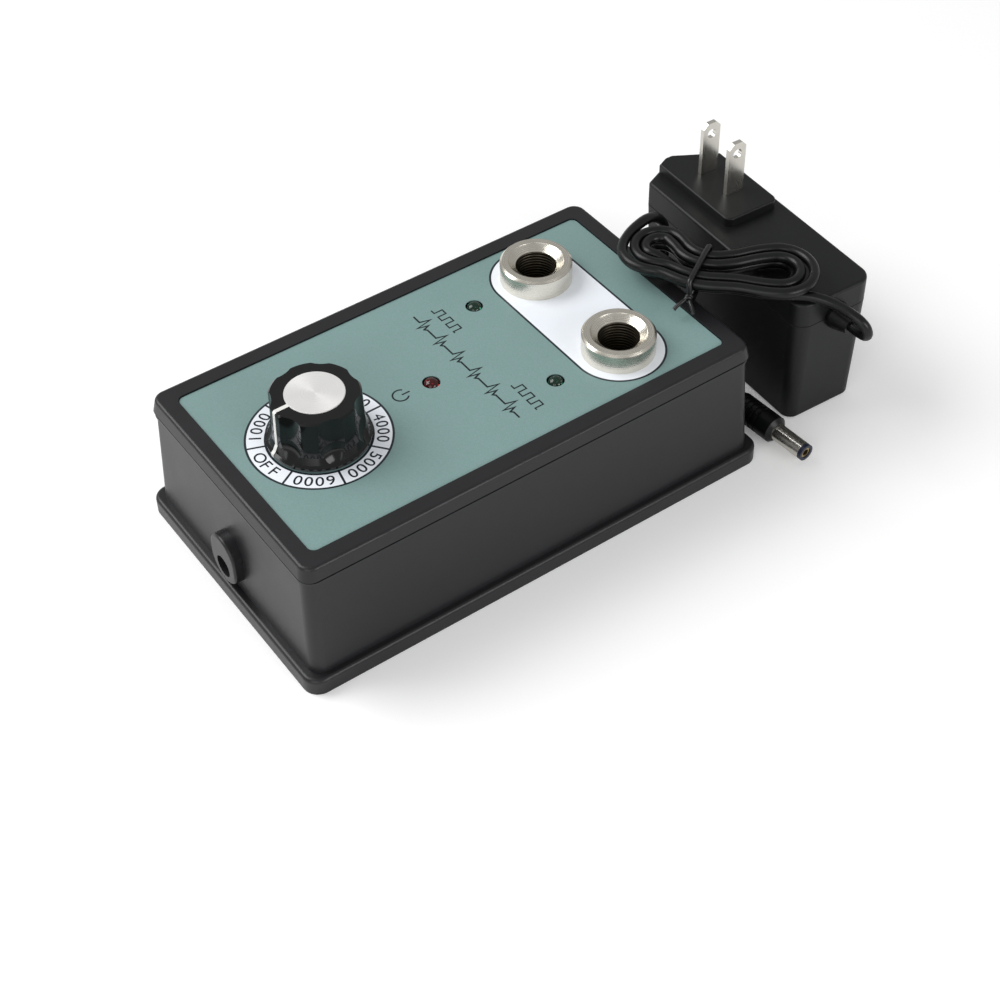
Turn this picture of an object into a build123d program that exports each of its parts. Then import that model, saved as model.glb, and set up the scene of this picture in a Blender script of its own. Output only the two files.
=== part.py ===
from build123d import *
import math
import os

# Every length is in millimetres.
# The origin is the middle of the tester's underside, on the surface that it stands on.
# +X runs across the tester, +Y along it towards the two plug sockets, and +Z is up.

# Tester case: a drafted shell on a flanged base
base_width = 91.4
base_length = 158.0
base_corner = 4.8
flange_height = 5.4
flange_round = 1.2
base_floor = 3.0
case_top = 44.5
case_wall = 2.4
case_top_thickness = 3.0
wall_foot_width = 86.8
wall_foot_length = 152.8
wall_corner = 3.8
wall_head_width = 83.6
wall_head_length = 149.8
bead_bottom = 38.7
bead_height = 0.8
bead_proud = 0.5
groove_height = 0.6
groove_depth = 0.5
rim_foot_width = 84.8
rim_foot_length = 151.0
rim_head_width = 83.4
rim_head_length = 149.4
rim_round = 1.1
lip_height = 1.8
lip_thickness = 1.4
lip_gap = 0.25
boss_radius = 3.8
boss_inset_x = 7.4
boss_inset_y = 7.4
boss_gap = 0.35

# Screws, all self-tapping
screw_radius = 1.45
screw_fit = 0.05
screw_head_radius = 3.0
screw_head_height = 1.4
screw_length = 11.5
screw_clearance = 0.25
counterbore_depth = 1.6
board_screw_length = 5.5
board_screw_head_radius = 2.8
board_screw_head_height = 1.8

# Face label, let into the top
label_width = 72.3
label_length = 138.6
label_corner = 2.0
label_thickness = 0.3
label_recess = 0.8
label_gap = 0.2

# Plug sockets: a flanged sleeve through the top, held by a nut below
socket_spacing = 40.0
socket_y = 43.4
collar_radius = 10.8
collar_height = 6.6
collar_chamfer = 0.7
mouth_radius = 8.0
mouth_depth = 1.8
mouth_lip = 0.3
bore_radius = 6.1
neck_radius = 9.0
neck_length = 14.0
neck_gap = 0.15
washer_radius = 12.0
washer_thickness = 0.8
lug_reach = 15.6
lug_width = 4.0
socket_nut_flats = 24.0
socket_nut_height = 4.0
thread_gap = 0.05

# Sprung contact under each socket
guide_radius = 9.2
guide_bore = 6.9
barrel_bore = 7.2
plunger_gap = 0.1
plunger_height = 3.0
plunger_stop = 16.7
plunger_rest_gap = 0.3
plunger_cone_radius = 4.5
plunger_cone_depth = 1.4
seat_thickness = 1.0
seat_tab_width = 2.0
seat_tab_reach = 12.4
spring_wire = 1.0
spring_mean_radius = 5.4
spring_turns = 3.5
spring_gap = 0.05

# Lamps
lamp_radius = 2.5
lamp_flange_radius = 2.9
lamp_flange_height = 1.0
lamp_height = 8.6
lamp_proud = 1.0
lamp_hole_gap = 0.12
lamp_sleeve_wall = 1.5
lamp_leg_radius = 0.28
lamp_leg_spacing = 2.54
lamp_leg_length = 10.0
power_lamp_y = -7.7
signal_lamp_x = 20.1
signal_lamp_y = 21.0
lead_radius = 0.65

# Speed control: a switched potentiometer with a fluted knob
control_y = -44.7
pot_radius = 8.5
pot_depth = 7.2
pot_wall = 1.2
pot_plate = 1.2
switch_radius = 8.2
switch_depth = 8.5
rotor_radius = 6.0
rotor_height = 1.2
rotor_gap = 0.8
shaft_radius = 3.0
shaft_fit = 0.05
shaft_top = 57.5
bushing_radius = 3.5
bushing_height = 7.5
bushing_hole_gap = 0.2
pot_washer_radius = 5.8
pot_washer_thickness = 0.6
pot_nut_flats = 10.0
pot_nut_height = 2.2
terminal_width = 1.8
terminal_thickness = 0.6
terminal_reach = 5.0
terminal_gap = 0.1
terminal_spacing = 5.0

knob_skirt_radius = 14.8
knob_skirt_rim = 0.9
knob_skirt_height = 3.4
knob_foot_radius = 13.2
knob_head_radius = 12.8
knob_height = 15.3
knob_ride = 0.8
knob_chamfer = 0.5
knob_hollow_radius = 8.2
knob_hollow_height = 4.9
flute_count = 7
flute_radius = 7.9
flute_depth = 1.15
flute_foot = 7.0
cap_radius = 8.4
cap_thickness = 0.8
cap_proud = 0.3
pointer_width = 1.2
pointer_depth = 0.7
pointer_proud = 0.06
insert_radius = 5.0
insert_fit = 0.02
insert_length = 8.0

# Supply socket in the end wall
jack_height = 13.2
jack_boss_radius = 6.6
jack_boss_stretch = 3.4
jack_boss_drop = 1.0
jack_boss_proud = 4.1
jack_boss_root = 2.0
jack_boss_round = 0.8
jack_hole_radius = 3.4
jack_collar_radius = 4.1
jack_collar_gap = 0.2
jack_bore_radius = 3.15
jack_bore_depth = 11.0
jack_body_width = 9.0
jack_body_length = 14.0
jack_body_height = 11.0
jack_wall_gap = 0.4
jack_pin_radius = 1.05
jack_pin_length = 8.0

# Circuit board and what stands on it
board_width = 66.0
board_near_end = 70.0
board_far_end = 31.0
board_thickness = 1.6
post_height = 2.4
post_radius = 3.0
post_inset = 4.5
post_near_y = -57.0
post_far_y = 25.0
core_width = 26.0
core_height = 18.0
core_depth = 8.0
core_leg = 7.2
core_yoke = 3.5
core_side = 3.4
core_y = 8.0
bobbin_gap = 0.2
bobbin_wall = 0.8
bobbin_flange = 0.9
winding_depth = 9.0
sink_width = 22.0
sink_depth = 12.0
sink_height = 24.0
sink_plate = 2.2
sink_fins = 6
sink_fin = 1.1
sink_inset = 12.0
sink_y = -22.0
transistor_width = 10.0
transistor_depth = 4.4
transistor_body = 9.2
transistor_tab = 6.2
transistor_tab_thickness = 1.3
transistor_stand = 4.0
chip_length = 9.8
chip_width = 6.4
chip_height = 3.4
chip_stand = 0.6
chip_inset = 12.0
chip_y = -44.0
big_can_radius = 5.0
big_can_height = 16.0
small_can_radius = 4.0
small_can_height = 12.0
can_inset = 10.0
big_can_y = -24.0
small_can_y = -38.0
resistor_radius = 1.2
resistor_length = 6.4
resistor_pitch = 4.6
resistor_count = 5
resistor_inset = 21.0
resistor_y = -52.0
hv_lead_radius = 1.2

# Plug-in supply, standing on its back behind the tester with its blades up
supply_x = 1.2
supply_y = 110.3
supply_turn = -2.1
supply_height = 46.0
supply_parting = 37.8
supply_half_width = 13.9
supply_right = 39.1
supply_corner = 5.0
supply_nose_x = -40.2
supply_nose_near = -4.4
supply_nose_far = -2.0
supply_near_shoulder = -35.6
supply_far_shoulder = -31.4
supply_draft = 1.3
supply_wall = 2.2
supply_cover = 2.4
supply_edge_round = 1.0
supply_lip = 2.0
supply_lip_gap = 0.1
blade_boss_height = 3.0
blade_boss_right = -3.0
blade_boss_near = -8.0
blade_boss_far = 11.4
blade_boss_inset = 0.5
blade_boss_corner = 2.5
blade_spacing = 12.7
blade_width = 6.35
blade_thickness = 1.5
blade_reach = 18.2
blade_hole_radius = 1.6
blade_hole_height = 14.4
blade_tip_cut = 1.6
blade_x = -20.4
blade_y = 2.3
blade_foot = 1.6
blade_foot_spread = 1.4
blade_slot_gap = 0.05
relief_height = 37.8
relief_y = 0.3
relief_root_radius = 4.3
relief_tip_radius = 2.5
relief_length = 7.0
relief_neck_radius = 3.4
relief_neck_gap = 0.1
relief_flange_radius = 4.6
relief_flange = 2.0
supply_board_width = 19.4
supply_board_length = 57.0
supply_board_stand = 2.0
supply_post_inset = 5.0
supply_post_width = 2.4
supply_core_x = 4.0
supply_core_length = 20.0
supply_core_width = 18.0
supply_core_height = 16.0
supply_core_end = 3.0
supply_core_slot = 2.5

# Cord, and the hank it is tied in
cord_radius = 1.6
hank_x = 11.9
hank_y = 80.1
hank_height = 47.9
hank_step = 4.0
hank_layer = 3.8
hank_bend_radius = 15.0
hank_left_heading = 13.0
hank_right_heading = 55.0
hank_left_run = 9.5
hank_left_swell = 2.2
hank_right_run = 17.0
hank_right_swell = 3.4
tie_width = 2.4
tie_thickness = 0.7
tie_gap = 0.35
tie_tail = 4.0
tie_tail_radius = 0.6

# Supply plug on the cord's end, lying on the surface
plug_x = 43.6
plug_y = 87.4
plug_heading = 4.0
plug_grip_radius = 4.3
plug_neck_radius = 2.5
plug_grip_length = 17.0
plug_taper_length = 12.0
plug_shoulder = 1.2
plug_rest_gap = 0.15
plug_barrel_radius = 2.75
plug_barrel_length = 10.8
plug_barrel_bore = 2.1
plug_ring_length = 1.2
plug_ring_bore = 1.8
plug_contact_radius = 1.7
plug_contact_bore = 1.1
plug_contact_gap = 0.05

# What follows from the sizes above
board_bottom = base_floor + post_height
board_top = board_bottom + board_thickness
post_x = board_width / 2 - post_inset
sink_x = sink_inset - board_width / 2
chip_x = chip_inset - board_width / 2
can_x = board_width / 2 - can_inset
resistor_x = board_width / 2 - resistor_inset
top_underside = case_top - case_top_thickness
recess_floor = case_top - label_recess
label_top = recess_floor + label_thickness
bead_top = bead_bottom + bead_height
rim_bottom = bead_top + groove_height
lamp_seat = label_top + lamp_proud - lamp_height + lamp_flange_height
socket_top = label_top + collar_height
neck_bottom = label_top - neck_length
washer_bottom = top_underside - washer_thickness
knob_bottom = label_top + knob_ride
knob_top = knob_bottom + knob_height
pot_top = top_underside - pot_plate
pot_bottom = pot_top - pot_depth
switch_bottom = pot_bottom - switch_depth
boss_x = wall_foot_width / 2 - boss_inset_x
boss_y = wall_foot_length / 2 - boss_inset_y
blade_boss_top = supply_height + blade_boss_height
plug_axis_height = plug_grip_radius + plug_rest_gap
plunger_top = plunger_stop - plunger_rest_gap
spring_bottom = base_floor + seat_thickness
spring_top = plunger_top - plunger_height

SOLID_UP = (Align.CENTER, Align.CENTER, Align.MIN)


def column(radius, low, high, x=0.0, y=0.0):
    return Pos(x, y, low) * Cylinder(radius, high - low, align=SOLID_UP)


def ring(outer, inner, low, high, x=0.0, y=0.0):
    return column(outer, low, high, x, y) - column(inner, low - 1, high + 1, x, y)


def block(x0, x1, y0, y1, z0, z1):
    centre = Pos((x0 + x1) / 2, (y0 + y1) / 2, (z0 + z1) / 2)
    return centre * Box(x1 - x0, y1 - y0, z1 - z0)


def slab(width, length, corner, low, high):
    return extrude(Plane.XY.offset(low) * RectangleRounded(width, length, corner), high - low)


def drafted(low, low_width, low_length, high, high_width, high_length, corner):
    foot = Plane.XY.offset(low) * RectangleRounded(low_width, low_length, corner)
    head = Plane.XY.offset(high) * RectangleRounded(high_width, high_length, corner)
    return loft([foot, head], ruled=True)


def spin(points):
    outline = Plane.XZ * make_face(Polyline(*points, close=True))
    return revolve(outline, Axis.Z)


def hexagon_nut(flats, bore, low, high, x, y):
    body = extrude(Pos(x, y, low) * RegularPolygon(flats / 2, 6, major_radius=False), high - low)
    return body - column(bore, low - 1, high + 1, x, y)


def tube(points, radii, radius):
    path = FilletPolyline(*points, radius=radii)
    start = Plane(path @ 0, z_dir=path % 0)
    return sweep(start * Circle(radius), path=path), path.length


def pair(x):
    return (-x, x)


# The wall leans out a little from the rim to the foot, as a moulding must to leave its tool
def wall_half_length(height):
    share = (height - flange_height) / (bead_bottom - flange_height)
    return (wall_foot_length + (wall_head_length - wall_foot_length) * share) / 2


def case_outside():
    wall = drafted(flange_height, wall_foot_width, wall_foot_length,
                   bead_bottom, wall_head_width, wall_head_length, wall_corner)
    bead = slab(wall_head_width + 2 * bead_proud, wall_head_length + 2 * bead_proud,
                wall_corner + bead_proud, bead_bottom, bead_top)
    groove = slab(rim_foot_width - 2 * groove_depth, rim_foot_length - 2 * groove_depth,
                  wall_corner - groove_depth, bead_top, rim_bottom)
    rim = drafted(rim_bottom, rim_foot_width, rim_foot_length,
                  case_top, rim_head_width, rim_head_length, wall_corner)
    rim = fillet(rim.faces().sort_by(Axis.Z)[-1].edges(), rim_round)
    return wall + bead + groove + rim


def case_shell():
    shell = case_outside()
    shell -= drafted(flange_height - 1, wall_foot_width - 2 * case_wall,
                     wall_foot_length - 2 * case_wall, top_underside,
                     wall_head_width - 2 * case_wall, wall_head_length - 2 * case_wall,
                     wall_corner - case_wall + 1)
    for x in pair(boss_x):
        for y in pair(boss_y):
            shell += column(boss_radius, base_floor, top_underside + 0.5, x, y)
            shell -= column(screw_radius + screw_fit, base_floor - 1,
                            counterbore_depth + screw_length + 1, x, y)
    shell -= slab(label_width + 2 * label_gap, label_length + 2 * label_gap,
                  label_corner + label_gap, recess_floor, case_top + 1)
    for x, y in lamp_places():
        shell += column(lamp_radius + lamp_hole_gap + lamp_sleeve_wall,
                        lamp_seat, top_underside + 0.5, x, y)
        shell -= column(lamp_radius + lamp_hole_gap, lamp_seat - 1, case_top, x, y)
    for x in pair(socket_spacing / 2):
        shell -= column(neck_radius + neck_gap, top_underside - 1, case_top, x, socket_y)
    shell -= column(bushing_radius + bushing_hole_gap, top_underside - 1, case_top, 0, control_y)
    hole = Plane.XZ.offset(wall_foot_length / 2 - case_wall - 2) * Pos(0, jack_height)
    shell -= extrude(hole * Circle(jack_collar_radius + jack_collar_gap), case_wall + 6)
    return shell


def base_plate():
    plate = slab(base_width, base_length, base_corner, 0, flange_height)
    plate = fillet(plate.faces().sort_by(Axis.Z)[-1].edges(), flange_round)
    lip_width = wall_foot_width - 2 * case_wall - 2 * lip_gap
    lip_length = wall_foot_length - 2 * case_wall - 2 * lip_gap
    lip_corner = wall_corner - case_wall + 1 - lip_gap
    plate += slab(lip_width, lip_length, lip_corner, base_floor, flange_height + lip_height)
    plate -= slab(lip_width - 2 * lip_thickness, lip_length - 2 * lip_thickness,
                  lip_corner - lip_thickness, base_floor, flange_height + lip_height + 1)
    for x in pair(boss_x):
        for y in pair(boss_y):
            plate -= column(boss_radius + boss_gap, base_floor, flange_height + lip_height + 1, x, y)
            plate -= column(screw_radius + screw_clearance, -1, base_floor + 1, x, y)
            plate -= column(screw_head_radius + screw_clearance, -1, counterbore_depth, x, y)
    notch = jack_body_width / 2 + jack_wall_gap
    plate -= block(-notch, notch, -lip_length / 2 - 0.1, -lip_length / 2 + lip_thickness + 0.1,
                   board_top - jack_wall_gap, flange_height + lip_height + 1)
    for x, y in board_posts():
        plate += column(post_radius, base_floor - 0.5, board_bottom, x, y)
        plate -= column(screw_radius + screw_fit, board_top - board_screw_length - 0.5,
                        board_bottom + 1, x, y)
    return plate


def base_screws():
    screws = []
    for x in pair(boss_x):
        for y in pair(boss_y):
            head = column(screw_head_radius, counterbore_depth - screw_head_height,
                          counterbore_depth, x, y)
            shank = column(screw_radius, counterbore_depth, counterbore_depth + screw_length, x, y)
            cross = block(x - 1.6, x + 1.6, y - 0.3, y + 0.3, -1, 0.9)
            cross += block(x - 0.3, x + 0.3, y - 1.6, y + 1.6, -1, 0.9)
            screws.append(head + shank - cross)
    return screws


def lamp_places():
    return [(0, power_lamp_y), (-signal_lamp_x, signal_lamp_y), (signal_lamp_x, signal_lamp_y)]


def board_posts():
    return [(x, y) for x in pair(post_x) for y in (post_near_y, post_far_y)]


def face_label():
    label = slab(label_width, label_length, label_corner, recess_floor, label_top)
    for x, y in lamp_places():
        label -= column(lamp_radius + lamp_hole_gap, recess_floor - 1, label_top + 1, x, y)
    for x in pair(socket_spacing / 2):
        label -= column(neck_radius + neck_gap, recess_floor - 1, label_top + 1, x, socket_y)
    label -= column(bushing_radius + bushing_hole_gap, recess_floor - 1, label_top + 1, 0, control_y)
    return label


# The collar's mouth is countersunk for the plug's shoulder, and the bore takes its insulator
def plug_socket(x):
    body = spin([(bore_radius, neck_bottom), (neck_radius, neck_bottom),
                 (neck_radius, label_top), (collar_radius, label_top),
                 (collar_radius, socket_top - collar_chamfer),
                 (collar_radius - collar_chamfer, socket_top),
                 (mouth_radius + mouth_lip, socket_top),
                 (mouth_radius, socket_top - mouth_lip),
                 (bore_radius, socket_top - mouth_depth)])
    return Pos(x, socket_y, 0) * body


def socket_washers():
    washers = []
    for x in pair(socket_spacing / 2):
        disc = column(washer_radius, washer_bottom, top_underside, x, socket_y)
        disc += block(x - lug_width / 2, x + lug_width / 2, socket_y - lug_reach, socket_y,
                      washer_bottom, top_underside)
        washers.append(disc - column(neck_radius + thread_gap, 0, case_top, x, socket_y))
    return washers


def socket_nuts():
    low = washer_bottom - socket_nut_height
    return [hexagon_nut(socket_nut_flats, neck_radius + thread_gap, low, washer_bottom, x, socket_y)
            for x in pair(socket_spacing / 2)]


def contact_guide(x):
    body = spin([(barrel_bore, base_floor), (guide_radius, base_floor),
                 (guide_radius, neck_bottom), (guide_bore, neck_bottom),
                 (guide_bore, plunger_stop), (barrel_bore, plunger_stop)])
    slot = block(-seat_tab_width / 2 - 0.3, seat_tab_width / 2 + 0.3, -guide_radius - 1, -guide_bore + 1,
                 base_floor - 1, base_floor + seat_thickness + 0.4)
    return Pos(x, socket_y, 0) * (body - slot)


def contact_plunger(x):
    body = spin([(0, spring_top), (barrel_bore - plunger_gap, spring_top),
                 (barrel_bore - plunger_gap, plunger_top), (plunger_cone_radius, plunger_top),
                 (0, plunger_top - plunger_cone_depth)])
    return Pos(x, socket_y, 0) * body


def contact_seats():
    seats = []
    for x in pair(socket_spacing / 2):
        seat = column(barrel_bore - plunger_gap, base_floor, base_floor + seat_thickness, x, socket_y)
        seat += block(x - seat_tab_width / 2, x + seat_tab_width / 2, socket_y - seat_tab_reach,
                      socket_y, base_floor, base_floor + seat_thickness)
        seats.append(seat)
    return seats


def contact_spring(x):
    low = spring_bottom + spring_wire / 2 + spring_gap
    high = spring_top - spring_wire / 2 - spring_gap
    coil = Helix((high - low) / spring_turns, high - low, spring_mean_radius)
    start = Plane(coil @ 0, z_dir=coil % 0)
    wire = sweep(start * RegularPolygon(spring_wire / 2, 8), path=coil, is_frenet=True)
    return Pos(x, socket_y, low) * wire


def lamp(x, y):
    low = lamp_seat - lamp_flange_height
    dome = label_top + lamp_proud - lamp_radius
    body = column(lamp_flange_radius, low, lamp_seat, x, y)
    body += column(lamp_radius, lamp_seat, dome, x, y)
    body += Pos(x, y, dome) * Sphere(lamp_radius)
    return body


def leg_places():
    return [(x + side * lamp_leg_spacing / 2, y) for x, y in lamp_places() for side in (-1, 1)]


def lamp_legs():
    high = lamp_seat - lamp_flange_height
    return [column(lamp_leg_radius, high - lamp_leg_length, high, x, y) for x, y in leg_places()]


def lamp_leads():
    high = lamp_seat - lamp_flange_height - lamp_leg_length
    return [column(lead_radius, board_top, high, x, y) for x, y in leg_places()]


def pot_body():
    cup = column(pot_radius, pot_bottom, pot_top, 0, control_y)
    return cup - column(pot_radius - pot_wall, pot_bottom + pot_wall, pot_top + 1, 0, control_y)


def pot_switch():
    body = column(switch_radius, switch_bottom, pot_bottom, 0, control_y)
    return chamfer(body.faces().sort_by(Axis.Z)[0].edges(), 0.6)


def rotor_bottom():
    return pot_bottom + pot_wall + rotor_gap


def pot_rotor():
    low = rotor_bottom()
    rotor = ring(rotor_radius, shaft_radius + insert_fit, low, low + rotor_height, 0, control_y)
    finger = block(-1, 1, control_y - rotor_radius, control_y - rotor_radius + 2, low - 0.1, low + 0.1)
    return rotor + finger


def pot_shaft():
    shaft = column(shaft_radius, rotor_bottom(), shaft_top, 0, control_y)
    return chamfer(shaft.faces().sort_by(Axis.Z)[-1].edges(), 0.5)


def pot_bushing():
    plate = column(pot_radius - 0.1, pot_top, top_underside, 0, control_y)
    barrel = column(bushing_radius, top_underside, top_underside + bushing_height, 0, control_y)
    return plate + barrel - column(shaft_radius + shaft_fit, 0, case_top * 2, 0, control_y)


def pot_washer():
    return ring(pot_washer_radius, bushing_radius + thread_gap, label_top,
                label_top + pot_washer_thickness, 0, control_y)


def pot_nut():
    low = label_top + pot_washer_thickness
    return hexagon_nut(pot_nut_flats, bushing_radius + thread_gap, low, low + pot_nut_height,
                       0, control_y)


def terminal_line():
    return [(n * terminal_spacing, control_y + pot_radius + terminal_reach) for n in (-1, 0, 1)]


def pot_terminals():
    low = pot_bottom + pot_wall
    lugs = []
    for x, y in terminal_line():
        inner_edge = max(abs(x) - terminal_width / 2, 0)
        start = control_y + math.sqrt(pot_radius ** 2 - inner_edge ** 2) + terminal_gap
        lugs.append(block(x - terminal_width / 2, x + terminal_width / 2, start, y,
                          low, low + terminal_thickness))
    return lugs


def pot_leads():
    high = pot_bottom + pot_wall
    leads = [column(lead_radius, board_top, high, x, y - 1) for x, y in terminal_line()]
    for x in pair(terminal_spacing / 2):
        leads.append(column(lead_radius, board_top, switch_bottom, x, control_y))
    return leads


# The knob's outline from the foot of its skirt to the edge of its top
def knob_outline(grow=0.0):
    return [(knob_skirt_radius + grow, knob_bottom),
            (knob_skirt_radius + grow, knob_bottom + knob_skirt_rim),
            (knob_skirt_radius - 0.7 + grow, knob_bottom + knob_skirt_rim + 0.6 + grow),
            (knob_foot_radius + grow, knob_bottom + knob_skirt_height + grow),
            (knob_head_radius + grow, knob_top - knob_chamfer + grow),
            (knob_head_radius - knob_chamfer + grow, knob_top + grow)]


def knob_pointer():
    outer = knob_outline(pointer_proud)
    inner = knob_outline(-pointer_depth)
    inner[0] = (inner[0][0], knob_bottom)
    near_cap = cap_radius
    points = outer + [(near_cap, knob_top + pointer_proud), (near_cap, knob_top - pointer_depth)]
    points += inner[::-1]
    plate = extrude(Plane.XZ * make_face(Polyline(*points, close=True)), pointer_width / 2, both=True)
    return Pos(0, control_y, 0) * Rot(0, 0, -90) * plate


def knob():
    body = spin([(0, knob_bottom)] + knob_outline() + [(0, knob_top)])
    deep = knob_head_radius - flute_depth + flute_radius
    for n in range(flute_count):
        turn = Rot(0, 0, -90 + (n + 0.5) * 360 / flute_count)
        foot = knob_bottom + flute_foot
        cutter = column(flute_radius, foot, knob_top + 1, deep, 0)
        cutter += Pos(deep, 0, foot) * Sphere(flute_radius)
        body -= turn * cutter
    body -= column(knob_hollow_radius, knob_bottom - 1, knob_bottom + knob_hollow_height)
    insert_low = knob_bottom + knob_hollow_height
    body -= column(insert_radius + insert_fit, insert_low - 1, insert_low + insert_length)
    body -= column(cap_radius, knob_top - cap_thickness + cap_proud, knob_top + 1)
    return Pos(0, control_y, 0) * body - knob_pointer()


def knob_cap():
    low = knob_top - cap_thickness + cap_proud
    disc = column(cap_radius - insert_fit, low, knob_top + cap_proud, 0, control_y)
    return chamfer(disc.faces().sort_by(Axis.Z)[-1].edges(), 0.15)


def knob_insert():
    low = knob_bottom + knob_hollow_height
    return ring(insert_radius, shaft_radius + insert_fit, low, low + insert_length, 0, control_y)


def end_face(y):
    return Plane.XZ.offset(-y)


def jack_bezel():
    middle = jack_height + jack_boss_drop + jack_boss_stretch / 2
    outline = Pos(0, middle) * SlotCenterToCenter(jack_boss_stretch, jack_boss_radius * 2, rotation=90)
    face = wall_head_length / 2 + jack_boss_proud
    depth = jack_boss_proud + jack_boss_root
    body = extrude(end_face(-face) * outline, -depth)
    body = fillet(body.faces().sort_by(Axis.Y)[0].edges(), jack_boss_round)
    body -= case_outside()
    hole = Pos(0, jack_height) * Circle(jack_hole_radius)
    return body - extrude(end_face(-face - 1) * hole, -depth - 2)


def jack_front():
    return wall_half_length(jack_height) - case_wall - jack_wall_gap


def dc_jack():
    front = jack_front()
    body = block(-jack_body_width / 2, jack_body_width / 2, -front, -front + jack_body_length,
                 board_top, board_top + jack_body_height)
    nose = end_face(-front - case_wall + 0.2) * Pos(0, jack_height)
    body += extrude(nose * Circle(jack_collar_radius), -case_wall)
    return body - extrude(nose * Circle(jack_bore_radius), -jack_bore_depth)


def jack_pin():
    rear = -jack_front() - case_wall + 0.2 + jack_bore_depth
    return extrude(end_face(rear) * Pos(0, jack_height) * Circle(jack_pin_radius), jack_pin_length)


def main_board():
    board = block(-board_width / 2, board_width / 2, -board_near_end, board_far_end,
                  board_bottom, board_top)
    for x in pair(boss_x):
        board -= column(boss_radius + 1, 0, case_top, x, -boss_y)
    for x, y in board_posts():
        board -= column(screw_radius + screw_clearance, 0, case_top, x, y)
    return board


def board_screws():
    screws = []
    for x, y in board_posts():
        top = board_top + board_screw_head_height
        screws.append(Pos(x, y, 0) * spin([
            (0, board_top - board_screw_length), (screw_radius, board_top - board_screw_length),
            (screw_radius, board_top), (board_screw_head_radius, board_top),
            (board_screw_head_radius, top - 0.6), (board_screw_head_radius - 0.9, top), (0, top)]))
    return screws


def core_window():
    return core_width / 2 - core_side - core_leg / 2


def transformer_core():
    half = core_depth / 2
    low = board_top
    core = block(-core_width / 2, core_width / 2, core_y - half, core_y + half, low, low + core_height)
    for side in (-1, 1):
        middle = side * (core_leg / 2 + core_window() / 2)
        core -= block(middle - core_window() / 2, middle + core_window() / 2, core_y - half - 1,
                      core_y + half + 1, low + core_yoke, low + core_height - core_yoke)
    return core


def transformer_bobbin():
    low = board_top + core_yoke + bobbin_gap
    high = board_top + core_height - core_yoke - bobbin_gap
    leg_x = core_leg / 2 + bobbin_gap
    leg_y = core_depth / 2 + bobbin_gap
    out_x = core_leg / 2 + core_window() - bobbin_gap
    out_y = leg_y + winding_depth / 2
    tube_x = leg_x + bobbin_wall
    tube_y = leg_y + bobbin_wall
    bobbin = block(-tube_x, tube_x, core_y - tube_y, core_y + tube_y, low, high)
    for flange_low in (low, high - bobbin_flange):
        bobbin += block(-out_x, out_x, core_y - out_y, core_y + out_y, flange_low,
                        flange_low + bobbin_flange)
    for side in (-1, 1):
        row = core_y + side * (out_y - 0.8)
        for n in range(4):
            pin_x = (n - 1.5) * 3.6
            bobbin += block(pin_x - 0.35, pin_x + 0.35, row - 0.35, row + 0.35, board_top, low + 0.3)
    return bobbin - block(-leg_x, leg_x, core_y - leg_y, core_y + leg_y, low - 1, high + 1)


def transformer_winding():
    low = board_top + core_yoke + bobbin_gap + bobbin_flange
    high = board_top + core_height - core_yoke - bobbin_gap - bobbin_flange
    tube_x = core_leg / 2 + bobbin_gap + bobbin_wall
    tube_y = core_depth / 2 + bobbin_gap + bobbin_wall
    out_x = core_leg / 2 + core_window() - bobbin_gap - 0.3
    out_y = core_depth / 2 + bobbin_gap + winding_depth / 2 - 0.5
    turns = Pos(0, core_y, 0) * slab(out_x * 2, out_y * 2, 2.4, low, high)
    return turns - block(-tube_x, tube_x, core_y - tube_y, core_y + tube_y, low - 1, high + 1)


def heat_sink():
    low = board_top
    sink = block(sink_x - sink_width / 2, sink_x + sink_width / 2, sink_y, sink_y + sink_plate,
                 low, low + sink_height)
    pitch = (sink_width - sink_fin) / (sink_fins - 1)
    for n in range(sink_fins):
        left = sink_x - sink_width / 2 + n * pitch
        sink += block(left, left + sink_fin, sink_y, sink_y + sink_depth, low, low + sink_height)
    return sink


def power_transistor():
    low = board_top + transistor_stand
    half = transistor_width / 2
    front = sink_y - transistor_depth
    body = block(sink_x - half, sink_x + half, front, sink_y, low, low + transistor_body)
    tab = block(sink_x - half, sink_x + half, sink_y - transistor_tab_thickness, sink_y,
                low + transistor_body, low + transistor_body + transistor_tab)
    middle = Plane.XZ.offset(-sink_y - 1) * Pos(sink_x, low + transistor_body + transistor_tab / 2)
    tab -= extrude(middle * Circle(1.8), transistor_depth)
    for n in (-1, 0, 1):
        leg_x = sink_x + n * 2.54
        body += block(leg_x - 0.4, leg_x + 0.4, sink_y - 2.6, sink_y - 2.1, board_top, low)
    return body + tab


def timer_chip():
    low = board_top + chip_stand
    body = block(chip_x - chip_length / 2, chip_x + chip_length / 2, chip_y - chip_width / 2,
                 chip_y + chip_width / 2, low, low + chip_height)
    for n in range(4):
        leg_x = chip_x + (n - 1.5) * 2.54
        for side in (-1, 1):
            edge = chip_y + side * (chip_width / 2 + 0.3)
            body += block(leg_x - 0.3, leg_x + 0.3, edge - 0.35, edge + 0.35,
                          board_top, low + chip_height / 2)
    return body


def board_capacitors():
    cans = []
    for radius, height, y in ((big_can_radius, big_can_height, big_can_y),
                              (small_can_radius, small_can_height, small_can_y)):
        crimp = board_top + 1.8
        cans.append(spin([(0, board_top), (radius, board_top), (radius, crimp - 0.5),
                          (radius - 0.4, crimp), (radius, crimp + 0.5),
                          (radius, board_top + height - 0.6),
                          (radius - 0.6, board_top + height), (0, board_top + height)]))
        cans[-1] = Pos(can_x, y, 0) * cans[-1]
    return cans


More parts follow.
